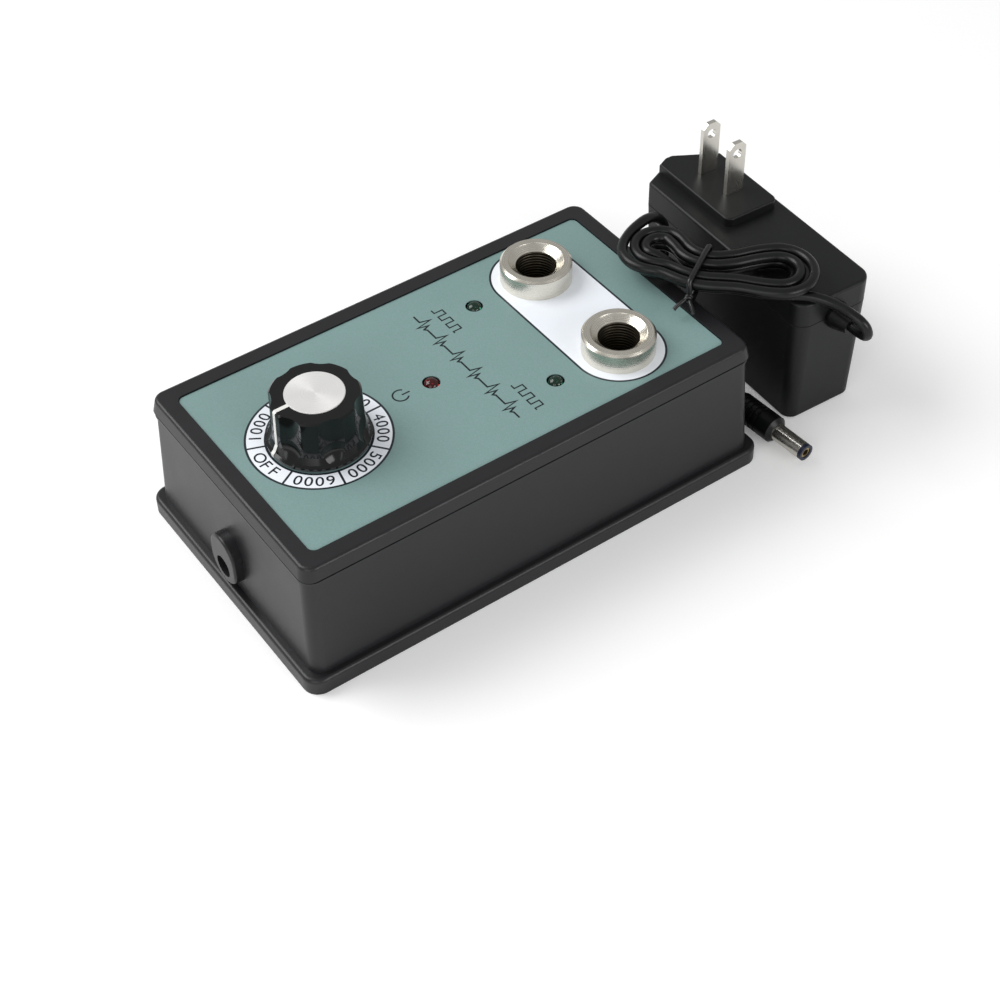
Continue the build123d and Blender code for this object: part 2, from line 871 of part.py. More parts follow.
def board_resistors():
    parts = []
    height = board_top + resistor_radius
    for n in range(resistor_count):
        y = resistor_y - n * resistor_pitch + resistor_pitch * 0.5
        across = Plane.YZ.offset(resistor_x) * Pos(y, height)
        body = extrude(across * Circle(resistor_radius), resistor_length)
        for x in (resistor_x - 1.4, resistor_x + resistor_length + 1.4):
            body += block(x - 0.3, x + 0.3, y - 0.3, y + 0.3, board_top, height + 0.3)
        body += block(resistor_x - 1.4, resistor_x + resistor_length + 1.4, y - 0.3, y + 0.3,
                      height - 0.3, height + 0.3)
        parts.append(body)
    return parts


def hv_lead(side):
    x = side * socket_spacing / 2
    face = core_y + core_depth / 2 + bobbin_gap + winding_depth / 2 - 0.5
    tab = socket_y - seat_tab_reach + hv_lead_radius + 0.1
    height = board_top + core_height / 2
    points = [(side * 4, face, height), (side * 4, face + 7, height),
              (x - side * 2, tab, height - 1.5), (x, tab, base_floor + seat_thickness + 7),
              (x, tab, base_floor + seat_thickness)]
    return tube(points, [3.5, 2.6, 4.0], hv_lead_radius)[0]


def ground_leads():
    y = socket_y - lug_reach + 1.2
    return [column(lead_radius, board_top, washer_bottom, x, y) for x in pair(socket_spacing / 2)]


# The supply is modelled about its own middle and then set down behind the tester
def set_down(shape):
    return Pos(supply_x, supply_y, 0) * Rot(0, 0, supply_turn) * shape


def supply_outline(inset):
    half = supply_half_width - inset
    points = [(supply_right - inset, -half), (supply_right - inset, half),
              (supply_far_shoulder + inset * 0.6, half), (supply_nose_x + inset, supply_nose_far),
              (supply_nose_x + inset, supply_nose_near), (supply_near_shoulder + inset * 0.6, -half)]
    face = make_face(Polyline(*points, close=True))
    right = face.vertices().sort_by(Axis.X)[-2:]
    rounded = fillet(right, max(supply_corner - inset, 1.0))
    left = rounded.vertices().sort_by(Axis.X)[:4]
    return fillet(left, max(1.6 - inset * 0.4, 0.5))


def supply_prism(inset, low, high):
    return extrude(Plane.XY.offset(low) * supply_outline(inset), high - low)


def relief_axis():
    return Plane.YZ.offset(supply_right - supply_wall - 6) * Pos(relief_y, relief_height)


def relief_pocket():
    start = supply_right - supply_wall - relief_flange - 2 * relief_neck_gap
    seat = Plane.YZ.offset(start) * Pos(relief_y, relief_height)
    return extrude(seat * Circle(relief_flange_radius + relief_neck_gap), supply_right - supply_wall - start)


def supply_back():
    foot = Plane.XY * supply_outline(supply_draft)
    head = Plane.XY.offset(supply_parting) * supply_outline(0.0)
    shell = loft([foot, head], ruled=True)
    shell = fillet(shell.faces().sort_by(Axis.Z)[0].edges(), 0.8)
    shell -= supply_prism(supply_wall + supply_draft, supply_cover, supply_parting + 1)
    shell -= supply_prism(supply_wall, supply_parting - 2 * supply_lip, supply_parting + 1)
    shell -= extrude(relief_axis() * Circle(relief_neck_radius + relief_neck_gap), 20)
    return set_down(shell - relief_pocket())


def blade_places():
    return [(blade_x - blade_spacing / 2, blade_y), (blade_x + blade_spacing / 2, blade_y)]


def supply_front():
    shell = supply_prism(0.0, supply_parting, supply_height)
    shell = fillet(shell.faces().sort_by(Axis.Z)[-1].edges(), supply_edge_round)
    boss = supply_prism(blade_boss_inset, supply_height - 1, blade_boss_top)
    keep = block(supply_nose_x - 1, blade_boss_right, blade_boss_near, blade_boss_far,
                 supply_height - 2, blade_boss_top + 1)
    keep = fillet(keep.edges().filter_by(Axis.Z).sort_by(Axis.X)[-2:], blade_boss_corner)
    boss = boss & keep
    boss = fillet(boss.faces().sort_by(Axis.Z)[-1].edges(), 0.6)
    shell += boss
    lip = supply_prism(supply_wall + supply_lip_gap, supply_parting - supply_lip, supply_parting + 1)
    shell += lip
    shell -= supply_prism(supply_wall + 1.3, supply_parting - supply_lip - 1,
                          supply_height - supply_cover)
    shell -= extrude(relief_axis() * Circle(relief_neck_radius + relief_neck_gap), 20)
    shell -= relief_pocket()
    for x, y in blade_places():
        half_t = blade_thickness / 2 + blade_slot_gap
        half_w = blade_width / 2 + blade_slot_gap
        shell -= block(x - half_t, x + half_t, y - half_w, y + half_w, supply_parting, blade_boss_top + 1)
    return set_down(shell)


def supply_blades():
    blades = []
    for x, y in blade_places():
        top = blade_boss_top + blade_reach
        half_w = blade_width / 2
        foot = supply_height - supply_cover
        side = [(y - half_w, foot - blade_foot), (y + half_w, foot - blade_foot),
                (y + half_w, top - blade_tip_cut), (y + half_w - blade_tip_cut, top),
                (y - half_w + blade_tip_cut, top), (y - half_w, top - blade_tip_cut)]
        plane = Plane.YZ.offset(x - blade_thickness / 2)
        blade = extrude(plane * make_face(Polyline(*side, close=True)), blade_thickness)
        hole = plane.offset(-1) * Pos(y, blade_boss_top + blade_hole_height)
        blade -= extrude(hole * Circle(blade_hole_radius), blade_thickness + 2)
        blade += block(x - blade_thickness / 2 - blade_foot_spread, x + blade_thickness / 2 + blade_foot_spread,
                       y - half_w, y + half_w, foot - blade_foot, foot)
        blades.append(set_down(blade))
    return blades


def supply_board():
    low = supply_cover + supply_board_stand
    board = block(-supply_board_length / 2, supply_board_length / 2, -supply_board_width / 2,
                  supply_board_width / 2, low, low + board_thickness)
    half_post = supply_post_width / 2
    for x in pair(supply_board_length / 2 - supply_post_inset):
        for y in pair(supply_board_width / 2 - supply_post_inset):
            board += block(x - half_post, x + half_post, y - half_post, y + half_post,
                           supply_cover, low)
    return set_down(board)


def supply_board_top():
    return supply_cover + supply_board_stand + board_thickness


def supply_transformer():
    low = supply_board_top()
    high = low + supply_core_height
    left, right = supply_core_x - supply_core_length / 2, supply_core_x + supply_core_length / 2
    half = supply_core_width / 2
    core = block(left, right, -half, half, low, high)
    for near, far in ((-half - 1, -half + supply_core_slot), (half - supply_core_slot, half + 1)):
        core -= block(left + supply_core_end, right - supply_core_end, near, far,
                      low + supply_core_end, high - supply_core_end)
    return set_down(core)

def supply_leads():
    high = supply_height - supply_cover - blade_foot
    shift = blade_spacing / 2 + blade_thickness / 2
    return [set_down(column(lead_radius, supply_board_top(), high, blade_x + side * shift, blade_y))
            for side in (-1, 1)]


def relief_tip():
    return supply_right + relief_length


def strain_relief():
    end = supply_right
    inner = end - supply_wall
    axis_points = [(inner - relief_flange - 0.1, 0), (inner - relief_flange - 0.1, relief_flange_radius),
                   (inner - 0.1, relief_flange_radius), (inner - 0.1, relief_neck_radius),
                   (end + 0.1, relief_neck_radius), (end + 0.1, relief_root_radius),
                   (end + 1.2, relief_root_radius), (relief_tip(), relief_tip_radius), (relief_tip(), 0)]
    face = make_face(Polyline(*axis_points, close=True))
    body = revolve(face, Axis.X)
    return set_down(Pos(0, relief_y, relief_height) * body)


def heading(degrees):
    return Vector(math.cos(math.radians(degrees)), math.sin(math.radians(degrees)), 0)


def rolled(vector, degrees):
    return vector.rotate(Axis.Z, degrees)


# The hank lies in a shallow bend, drawn in where the tie grips it, and opens at both ends
class HankFrame:
    def __init__(self):
        middle = Vector(hank_x, hank_y, hank_height)
        mean = (hank_left_heading + hank_right_heading) / 2
        self.centre = middle + rolled(heading(mean), 90) * hank_bend_radius
        self.left = heading(hank_left_heading)
        self.right = heading(hank_right_heading)
        self.mean = heading(mean)

    def at(self, direction, along, aside, up):
        root = self.centre - rolled(direction, 90) * (hank_bend_radius - aside)
        return root + direction * along + Vector(0, 0, up)

    def on_left(self, along, aside, up):
        return self.at(self.left, -along, aside, up)

    def on_right(self, along, aside, up):
        return self.at(self.right, along, aside, up)

    def on_waist(self, aside, up):
        return self.at(self.mean, 0, aside, up)


def swell_arcs(start, end, direction):
    offset = end - start
    run = offset.dot(direction)
    across = offset - direction * run
    width = across.length
    if width < 0.001:
        return [Line(start, end)]
    radius = (run * run + width * width) / (4 * width)
    half = math.asin(abs(run) / 2 / radius)
    aside = across.normalized()
    middle = (start + end) * 0.5
    sign = 1 if run > 0 else -1
    reach = direction * sign * radius * math.sin(half / 2)
    lift = aside * radius * (1 - math.cos(half / 2))
    return [ThreePointArc(start, start + reach + lift, middle),
            ThreePointArc(middle, end - reach - lift, end)]


# The strands' distances from the middle of the waist, first on one side and then on the other
def hank_offsets():
    return [share * hank_step / 4 for share in (5, 3, 1, 1, 5, 5, 9)]


def turn_round(start, end, way):
    radius = (end - start).length / 2
    return ThreePointArc(start, (start + end) * 0.5 + way * radius, end)


# Three strands lie below and four above, and the third climbs as it nears the left end
def hank_path():
    frame = HankFrame()
    offsets = hank_offsets()
    edges = []
    start = frame.on_right(hank_right_run, -offsets[0] - hank_right_swell, 0)
    edges += swell_arcs(start, frame.on_right(0, -offsets[0], 0), frame.right)
    for n, offset in enumerate(offsets):
        up = 0 if n < 3 else hank_layer
        next_up = 0 if n < 2 else hank_layer
        leftward = n % 2 == 0
        side = -1 if leftward else 1
        ends = [frame.on_right(0, side * offset, up), frame.on_left(0, side * offset, up)]
        begin, finish = ends if leftward else ends[::-1]
        edges.append(ThreePointArc(begin, frame.on_waist(side * offset, up), finish))
        run, swell, place, line = (hank_right_run, hank_right_swell, frame.on_right, frame.right)
        if leftward:
            run, swell, place, line = (hank_left_run, hank_left_swell, frame.on_left, frame.left)
        out = place(run, side * (offset + swell), next_up)
        edges += swell_arcs(finish, out, line)
        onward = line * side
        if n + 1 == len(offsets):
            middle = place(run, 0, next_up)
            end = middle + onward * (offset + swell)
            edges.append(ThreePointArc(out, middle + (out + end - middle * 2) * math.sqrt(0.5), end))
            break
        follow = offsets[n + 1]
        far = place(run, -side * (follow + swell), next_up)
        edges.append(turn_round(out, far, onward))
        edges += swell_arcs(far, place(0, -side * follow, next_up), line)
    return edges


def hank_points(edges, step=1.0):
    points = []
    for edge in edges:
        count = max(2, int(edge.length / step))
        points += [edge @ (k / count) for k in range(count)]
    return points


def hank_gap(edges):
    points = hank_points(edges)
    least = 1000.0
    apart = 14
    for i, one in enumerate(points):
        for other in points[i + apart:]:
            least = min(least, (one - other).length)
    return least - 2 * cord_radius


def cord_hank():
    edges = hank_path()
    wire = Wire(edges)
    start = Plane(edges[0] @ 0, z_dir=edges[0] % 0)
    print("hank length", round(wire.length, 1), "least gap", round(hank_gap(edges), 2))
    return sweep(start * Circle(cord_radius), path=wire)


def bend_radii(points):
    radii = []
    for a, b, c in zip(points, points[1:], points[2:]):
        before = Vector(*b) - Vector(*a)
        after = Vector(*c) - Vector(*b)
        turn = math.radians(before.get_angle(after))
        radii.append(round(0.45 * min(before.length, after.length) / math.tan(turn / 2), 2))
    return radii


def cord_stretch(name, points):
    radii = bend_radii(points)
    solid, length = tube(points, radii, cord_radius)
    expected = math.pi * cord_radius ** 2 * length
    print(name, "radii", radii, "length", round(length, 1),
          "volume over section times length", round(solid.volume / expected, 4))
    return solid


# The first stretch leaves the strain relief, doubles back over it and runs into the hank
def cord_start_route():
    tip = set_down(Pos(relief_tip(), relief_y, relief_height) * Vertex(0, 0, 0)).center()
    edges = hank_path()
    entry = edges[0] @ 0
    into = edges[0] % 0
    out = heading(supply_turn)
    turn_out = tip + out * 7.9
    turn_back = turn_out + Vector(-0.3, -2.2, 8.0)
    before = entry - into * 12.6
    return [tuple(p) for p in (tip, turn_out, turn_back, before, entry)]


# The last stretch leaves the hank's left end, drops behind the tester and runs to the plug
def cord_tail_route():
    edges = hank_path()
    leave = edges[-1] @ 1
    way = edges[-1] % 1
    back = plug_frame().origin - plug_frame().z_dir * (plug_grip_length + plug_taper_length)
    along = plug_frame().z_dir
    first = leave + way * 11.0
    second = first + way * 7.1 - Vector(0, 0, 8.4)
    third = second + Vector(1.0, -1.2, -11.6)
    fourth = third + Vector(0.2, -1.0, -11.0)
    last = back - along * 13.0
    fifth = last + Vector(-12.6, 2.3, 5.2)
    return [tuple(p) for p in (leave, first, second, third, fourth, fifth, last, back)]


def cord_tie():
    frame = HankFrame()
    offsets = hank_offsets()
    low = -offsets[6] - cord_radius - tie_gap
    high = offsets[5] + cord_radius + tie_gap
    middle = frame.on_waist((low + high) / 2, hank_layer / 2)
    across = rolled(frame.mean, 90)
    plane = Plane(middle, x_dir=across, z_dir=frame.mean)
    width = high - low
    height = hank_layer + 2 * cord_radius + 2 * tie_gap
    hole = RectangleRounded(width, height, 2.2)
    band = RectangleRounded(width + 2 * tie_thickness, height + 2 * tie_thickness, 2.2 + tie_thickness)
    loop = extrude(plane * (band - hole), tie_width / 2, both=True)
    root = -width / 2 - tie_thickness / 2
    for lean in (-1, 1):
        route = [(root, -1.0, lean * 0.4), (root - tie_tail / 2, -1.0, lean * 0.8),
                 (root - tie_tail, -1.0 - lean * 0.8, lean * 2.6)]
        loop += plane * tube(route, [1.5], tie_tail_radius)[0]
    return loop


def plug_frame():
    return Plane((plug_x, plug_y, plug_axis_height), z_dir=heading(plug_heading))


def plug_turned(points):
    return plug_frame() * spin(points)


def plug_grip():
    back = -plug_grip_length - plug_taper_length
    points = [(0, back), (plug_neck_radius, back), (plug_neck_radius + 0.5, back + 1.5),
              (plug_grip_radius - 0.5, -plug_grip_length), (plug_grip_radius, -plug_grip_length + 1.5),
              (plug_grip_radius, -plug_shoulder), (plug_grip_radius - plug_shoulder, 0), (0, 0)]
    grip = spin(points)
    for n in range(5):
        low = -plug_grip_length + 3 + n * 1.8
        grip -= ring(plug_grip_radius + 1, plug_grip_radius - 0.35, low, low + 0.8)
    return plug_frame() * grip


def plug_barrel():
    return plug_frame() * ring(plug_barrel_radius, plug_barrel_bore, 0, plug_barrel_length)


def plug_ring():
    low = plug_barrel_length
    body = ring(plug_barrel_radius - 0.05, plug_ring_bore, low, low + plug_ring_length)
    body += ring(plug_barrel_bore - plug_contact_gap, plug_ring_bore, 0, low + 0.1)
    return plug_frame() * body


def plug_contact():
    tip = plug_barrel_length + plug_ring_length - 0.3
    return plug_frame() * ring(plug_contact_radius, plug_contact_bore, 0, tip)


def save(name, shapes):
    shapes = shapes if isinstance(shapes, list) else [shapes]
    solids = [solid for shape in shapes for solid in shape.solids()]
    whole = solids[0] if len(solids) == 1 else Compound(children=solids)
    export_step(whole, "parts/" + name + ".step")


def main():
    os.makedirs("parts", exist_ok=True)
    half = socket_spacing / 2
    save("case_shell", case_shell())
    save("base_plate", base_plate())
    save("base_screws", base_screws())
    save("face_label", face_label())
    save("plug_sockets", [plug_socket(-half), plug_socket(half)])
    save("contact_guides", [contact_guide(-half), contact_guide(half)])
    for side, x in (("left", -half), ("right", half)):
        save("contact_plunger_" + side, contact_plunger(x))
        save("contact_spring_" + side, contact_spring(x))
    save("socket_washers", socket_washers())
    save("socket_nuts", socket_nuts())
    save("contact_seats", contact_seats())
    save("power_lamp", lamp(0, power_lamp_y))
    save("signal_lamps", [lamp(x, signal_lamp_y) for x in pair(signal_lamp_x)])
    save("lamp_legs", lamp_legs())
    save("pot_body", pot_body())
    save("pot_switch", pot_switch())
    save("pot_rotor", pot_rotor())
    save("pot_shaft", pot_shaft())
    save("pot_bushing", pot_bushing())
    save("pot_washer", pot_washer())
    save("pot_nut", pot_nut())
    save("pot_terminals", pot_terminals())
    save("panel_leads", lamp_leads() + pot_leads() + ground_leads())
    save("knob", knob())
    save("knob_pointer", knob_pointer())
    save("knob_cap", knob_cap())
    save("knob_insert", knob_insert())
    save("jack_bezel", jack_bezel())
    save("dc_jack", dc_jack())
    save("jack_pin", jack_pin())
    save("main_board", main_board())
    save("board_screws", board_screws())
    save("transformer_core", transformer_core())
    save("transformer_bobbin", transformer_bobbin())
    save("transformer_winding", transformer_winding())
    save("heat_sink", heat_sink())
    save("power_transistor", power_transistor())
    save("timer_chip", timer_chip())
    save("board_capacitors", board_capacitors())
    save("board_resistors", board_resistors())
    save("hv_leads", [hv_lead(-1), hv_lead(1)])
    save("supply_back", supply_back())
    save("supply_front", supply_front())
    save("supply_blades", supply_blades())
    save("supply_board", supply_board())
    save("supply_transformer", supply_transformer())
    save("supply_leads", supply_leads())
    save("strain_relief", strain_relief())
    save("cord_start", cord_stretch("cord start", cord_start_route()))
    save("cord_hank", cord_hank())
    save("cord_tail", cord_stretch("cord tail", cord_tail_route()))
    save("cord_tie", cord_tie())
    save("plug_grip", plug_grip())
    save("plug_barrel", plug_barrel())
    save("plug_ring", plug_ring())
    save("plug_contact", plug_contact())


main()
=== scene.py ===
import math

import bpy
from mathutils import Matrix, Vector


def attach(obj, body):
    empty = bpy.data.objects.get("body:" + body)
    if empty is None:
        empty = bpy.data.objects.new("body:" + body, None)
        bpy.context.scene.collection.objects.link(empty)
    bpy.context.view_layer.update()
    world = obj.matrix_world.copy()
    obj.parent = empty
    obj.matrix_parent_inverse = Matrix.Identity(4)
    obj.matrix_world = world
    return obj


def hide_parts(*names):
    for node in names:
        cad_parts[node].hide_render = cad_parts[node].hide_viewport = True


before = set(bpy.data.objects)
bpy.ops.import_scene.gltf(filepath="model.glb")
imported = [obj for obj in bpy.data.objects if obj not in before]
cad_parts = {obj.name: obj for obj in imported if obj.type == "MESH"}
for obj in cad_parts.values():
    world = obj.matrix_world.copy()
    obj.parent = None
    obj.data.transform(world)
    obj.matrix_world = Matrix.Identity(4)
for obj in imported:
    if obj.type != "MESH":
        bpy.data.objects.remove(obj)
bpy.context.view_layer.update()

# The camera. The photograph was taken from above the near right-hand corner with a short
# telephoto lens, so the far end hardly narrows. Lengths below are in millimetres unless
# a line says otherwise, and MM turns them into the scene's metres.
MM = 0.001
camera_data = bpy.data.cameras.new("photo_camera")
camera_data.lens = 70.38
camera_data.sensor_width = 36.0
camera_data.clip_start = 0.01
camera = bpy.data.objects.new("photo_camera", camera_data)
photo_place = Vector((347.56, -223.15, 415.29))
photo_right = Vector((0.57811, 0.81581, -0.01558))
photo_up = Vector((-0.57833, 0.42315, 0.69748))
photo_axes = Matrix((photo_right, photo_up, photo_right.cross(photo_up))).transposed()
camera.matrix_world = Matrix.Translation(photo_place * MM) @ photo_axes.to_4x4()
bpy.context.scene.collection.objects.link(camera)
bpy.context.scene.camera = camera

# The supply's cord. It is one thin black vinyl lead that leaves the strain relief, doubles
# back over it, is folded by hand into a flat hank with a bent waist, and ends in the barrel
# plug behind the tester. Points of the hank are placed from the centre of the waist's bend.
CORD_RADIUS = 1.6
BEND_CENTRE = Vector((3.51, 92.54, 47.9))
BEND_RADIUS = 15.0
LAYER = 3.8
STEP = 4.0
WAIST_PARTS = 4
STRAND_SHARES = (5, 3, 1, 1, 5, 5, 9)
STRANDS_BELOW = 3
LEFT_HEADING, RIGHT_HEADING = 13.0, 55.0
LEFT_RUN, LEFT_SWELL = 9.0, 2.7
RIGHT_RUN, RIGHT_SWELL = 17.0, 3.4
TIGHTEST_FOLD = 4.4
FOLD_STEP = 30
HALF_TURN, LAST_TURN = 180, 75


def toward(degrees):
    """The level direction on that heading, counted from +X."""
    return Vector((math.cos(math.radians(degrees)), math.sin(math.radians(degrees)), 0.0))


def beside(heading, along, aside, up):
    """A point of the hank: along and aside from the waist's end on that heading."""
    root = BEND_CENTRE - toward(heading + 90.0) * (BEND_RADIUS - aside)
    return root + toward(heading) * along + Vector((0.0, 0.0, up))


def eased(t):
    """From 0 to 1 with a slow start and a slow end."""
    return 2 * t * t if t < 0.5 else 1 - 2 * (1 - t) * (1 - t)


def straight(heading, along, aside, swell, low, high, shares):
    """The straight part of a strand, which spreads and climbs as it nears its fold."""
    side = 1 if aside > 0 else -1
    return [beside(heading, along * t, aside + side * swell * eased(t),
                   low + (high - low) * eased(t)) for t in shares]


def fold(heading, run, radius, middle, side, up, sweep):
    """The points of a half turn, set a little outside it so that the curve lies on it."""
    reach = radius / math.cos(math.radians(FOLD_STEP / 2))
    points = []
    for angle in range(FOLD_STEP // 2, sweep, FOLD_STEP):
        turn = math.radians(angle)
        points.append(beside(heading, side * (run + reach * math.sin(turn)),
                             middle + side * reach * math.cos(turn), up))
    return points


def hank_points():
    """Strand after strand: round the waist, out to one end, through its fold and back."""
    offsets = [share * STEP / 4 for share in STRAND_SHARES]
    waist = [RIGHT_HEADING + (LEFT_HEADING - RIGHT_HEADING) * k / WAIST_PARTS
             for k in range(WAIST_PARTS + 1)]
    last = len(offsets) - 1
    points = straight(RIGHT_HEADING, RIGHT_RUN, -offsets[0], RIGHT_SWELL, 0.0, 0.0,
                      (1.0, 0.75, 0.5, 0.25))
    for n, offset in enumerate(offsets):
        low = 0.0 if n < STRANDS_BELOW else LAYER
        high = 0.0 if n < STRANDS_BELOW - 1 else LAYER
        leftward = n % 2 == 0
        side = -1 if leftward else 1
        heading = LEFT_HEADING if leftward else RIGHT_HEADING
        run, swell = (LEFT_RUN, LEFT_SWELL) if leftward else (RIGHT_RUN, RIGHT_SWELL)
        for angle in waist if leftward else waist[::-1]:
            points.append(beside(angle, 0.0, side * offset, low))
        points += straight(heading, side * run, side * offset, swell, low, high, (0.3, 0.6, 0.9))
        follow = offsets[min(n + 1, last)]
        radius = max((offset + follow) / 2 + swell, TIGHTEST_FOLD)
        points += fold(heading, run, radius, side * (offset - follow) / 2, side, high,
                       LAST_TURN if n == last else HALF_TURN)
        if n < last:
            points += straight(heading, side * run, -side * follow, swell, high, high,
                               (0.9, 0.6, 0.3))
    return points


RELIEF_REACH = 7.9
TURN_BACK = Vector((-0.3, -2.2, 8.0))
ENTRY_RUN = 12.6
relief_tip = Vector((47.28, 108.91, 37.8))
relief_way = toward(-2.1)
hank = hank_points()
first_out = relief_tip + relief_way * RELIEF_REACH
entry_way = (hank[1] - hank[0]).normalized()
start_route = [relief_tip, first_out, first_out + TURN_BACK, hank[0] - entry_way * ENTRY_RUN]

# The cord's tail. It leaves the top layer at the hank's left end, drops between the tester
# and the supply, and comes level just above the ground before the moulded grip of its plug.
TAIL_LEVEL_RUN = 11.0
TAIL_DIP_RUN, TAIL_DIP = 7.1, 8.4
TAIL_STEPS = (Vector((1.0, -1.2, -11.6)), Vector((0.2, -1.0, -11.0)))
TOUCHDOWN = Vector((-12.6, 2.3, 5.2))
PLUG_LENGTH, PLUG_RUN = 29.0, 13.0
plug_way = toward(4.0)
plug_back = Vector((43.6, 87.4, 4.45)) - plug_way * PLUG_LENGTH
floor_run = plug_back - plug_way * PLUG_RUN
tail_way = toward(LEFT_HEADING + 90.0)
outermost = STRAND_SHARES[-1] * STEP / 4
tail_route = [beside(LEFT_HEADING, -(LEFT_RUN + outermost + LEFT_SWELL), 0.0, LAYER)]
tail_route.append(tail_route[-1] + tail_way * TAIL_LEVEL_RUN)
tail_route.append(tail_route[-1] + tail_way * TAIL_DIP_RUN - Vector((0.0, 0.0, TAIL_DIP)))
for step in TAIL_STEPS:
    tail_route.append(tail_route[-1] + step)
tail_route += [floor_run + TOUCHDOWN, floor_run, plug_back]
cord_route = start_route + hank + tail_route


def smooth_line(name, route, radius, closed=False, sides=4):
    """A round curve through a route; its thickness is given point by point."""
    data = bpy.data.curves.new(name, "CURVE")
    data.dimensions = "3D"
    data.bevel_depth = 1.0
    data.bevel_resolution = sides
    data.resolution_u = 8
    data.use_fill_caps = True
    spline = data.splines.new("NURBS")
    spline.points.add(len(route) - 1)
    for point, place in zip(spline.points, route):
        point.co = (*(Vector(place) * MM), 1.0)
        point.radius = radius * MM
    spline.order_u = 3
    spline.use_cyclic_u = closed
    spline.use_endpoint_u = not closed
    piece = bpy.data.objects.new(name, data)
    bpy.context.scene.collection.objects.link(piece)
    return piece


cord = smooth_line("supply_cord", cord_route, CORD_RADIUS)
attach(cord, "tester")
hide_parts("cord_start", "cord_hank", "cord_tail")

# The wire tie round the hank's waist. It is a thin coated wire wound once round the strands
# and twisted by hand on the near side, where its two short ends stick out.
TIE_RADIUS = 0.85
TIE_GAP = 0.1
TIED_LOW, TIED_HIGH = -9.0, 5.0
CORNER_INSET, CORNER_REACH = 2.4, 2.5
CORNER_STEP = 30
LOOP_WANDER = 0.5
TWIST_HEIGHT, TWIST_RADIUS = 1.2, 0.7
TWIST_START, TWIST_PITCH, TWIST_STEP = 0.1, 0.32, 60
END_RADIUS = TIE_RADIUS * 0.72
TIE_TAILS = ((3.0, 1.2, 0.2), (4.2, 2.3, 0.9), (5.3, 3.0, 1.8))
tie_heading = (LEFT_HEADING + RIGHT_HEADING) / 2


def tie_point(aside, up, along=0.0):
    """A point on the tie's heading, at the middle of the waist."""
    return beside(tie_heading, along, aside, up)


outside = CORD_RADIUS + TIE_RADIUS + TIE_GAP
tie_low, tie_high = TIED_LOW - outside, TIED_HIGH + outside
tie_bottom, tie_top = -outside, LAYER + outside
around = []
for quarter in range(4):
    right, upper = quarter in (0, 3), quarter in (0, 1)
    corner_aside = tie_high - CORNER_INSET if right else tie_low + CORNER_INSET
    corner_up = tie_top - CORNER_INSET if upper else tie_bottom + CORNER_INSET
    for step in range(3):
        turn = math.radians(90 * quarter + CORNER_STEP / 2 + CORNER_STEP * step)
        around.append(tie_point(corner_aside + CORNER_REACH * math.cos(turn),
                                corner_up + CORNER_REACH * math.sin(turn),
                                LOOP_WANDER * math.sin(turn * 2)))
tie_loop = smooth_line("tie_loop", around, TIE_RADIUS, closed=True, sides=3)
tie_ends = []
for end in (0, 1):
    side = 1 - 2 * end
    twist = []
    for k in range(7):
        turn = math.radians(end * 180 + k * TWIST_STEP)
        twist.append(tie_point(tie_low - TWIST_START - TWIST_PITCH * k,
                               TWIST_HEIGHT + TWIST_RADIUS * math.sin(turn),
                               TWIST_RADIUS * math.cos(turn)))
    for reach, spread, drop in TIE_TAILS:
        twist.append(tie_point(tie_low - reach, TWIST_HEIGHT - drop, side * spread))
    tie_ends.append(smooth_line("tie_end_%d" % (end + 1), twist, END_RADIUS, sides=3))
for piece in [tie_loop] + tie_ends:
    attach(piece, "tester")
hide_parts("cord_tie")


# The case. Lid and base are injection-moulded black plastic with a fine even grain. The base
# shows as the flange, and the lid carries a bead and a groove under its rim. Its finish needs
# the class below, which stands for a value that varies over a surface.
class Field:
    """A shader socket that sums, products and other nodes can be built on."""

    def __init__(self, tree, socket=None):
        self.tree = tree
        self.socket = socket

    def node(self, kind, settings=None, inputs=None, output=0):
        made = self.tree.nodes.new(kind)
        for key, value in (settings or {}).items():
            setattr(made, key, value)
        for key, value in (inputs or {}).items():
            if isinstance(value, Field):
                self.tree.links.new(value.socket, made.inputs[key])
            else:
                made.inputs[key].default_value = value
        return Field(self.tree, made.outputs[output])

    def math(self, operation, *others):
        return self.node("ShaderNodeMath", {"operation": operation},
                         dict(enumerate((self, *others))))

    def __add__(self, other):
        return self.math("ADD", other)

    def __radd__(self, other):
        return self.math("ADD", other)

    def __sub__(self, other):
        return self.math("SUBTRACT", other)

    def __rsub__(self, other):
        return self.math("MULTIPLY", -1.0) + other

    def __mul__(self, other):
        return self.math("MULTIPLY", other)

    def __rmul__(self, other):
        return self.math("MULTIPLY", other)

    def __abs__(self):
        return self.math("ABSOLUTE")

    def below(self, edge, soft):
        """1 where the value is under edge, 0 where it is over, and a ramp of width soft."""
        return self.node("ShaderNodeMapRange", {"interpolation_type": "SMOOTHSTEP"},
                         {"Value": self, "From Min": edge - soft / 2, "From Max": edge + soft / 2,
                          "To Min": 1.0, "To Max": 0.0})

    def colour(self, low, high):
        """low where the value is 0 and high where it is 1."""
        inputs = {"Factor": self}
        for key, value in ((6, low), (7, high)):
            inputs[key] = value if isinstance(value, Field) else (*value, 1.0)
        return self.node("ShaderNodeMix", {"data_type": "RGBA"}, inputs, output=2)


